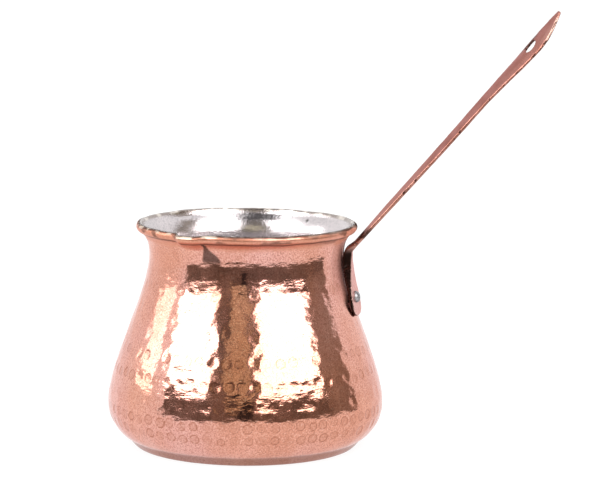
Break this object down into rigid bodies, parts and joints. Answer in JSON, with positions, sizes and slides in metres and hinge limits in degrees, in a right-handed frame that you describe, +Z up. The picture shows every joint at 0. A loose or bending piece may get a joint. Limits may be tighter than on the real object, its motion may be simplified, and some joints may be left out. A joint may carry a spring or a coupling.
{
  "type": "turkish coffee pot cezve",
  "caption": "Round-bellied hammered copper coffee pot with a tin lining, a flared rim with a small pouring lip, and a forged strap handle held by a rivet.",
  "frame": {"origin": "centre of the flat underside of the base", "axes": "+Z up through the mouth, +X out along the handle, the pouring lip towards -Y"},
  "size_m": [0.1644, 0.1014, 0.162],
  "materials": {
    "copper": "hammered and polished copper",
    "tin": "wiped tin, soft sheen",
    "aged_copper": "forged copper, lightly oxidised",
    "aluminium": "peened, dull"
  },
  "bodies": {
    "root": {"pot_body": "copper", "tin_lining": "tin", "handle_strap": "aged_copper", "handle_rivet": "aluminium"}
  },
  "joints": []
}
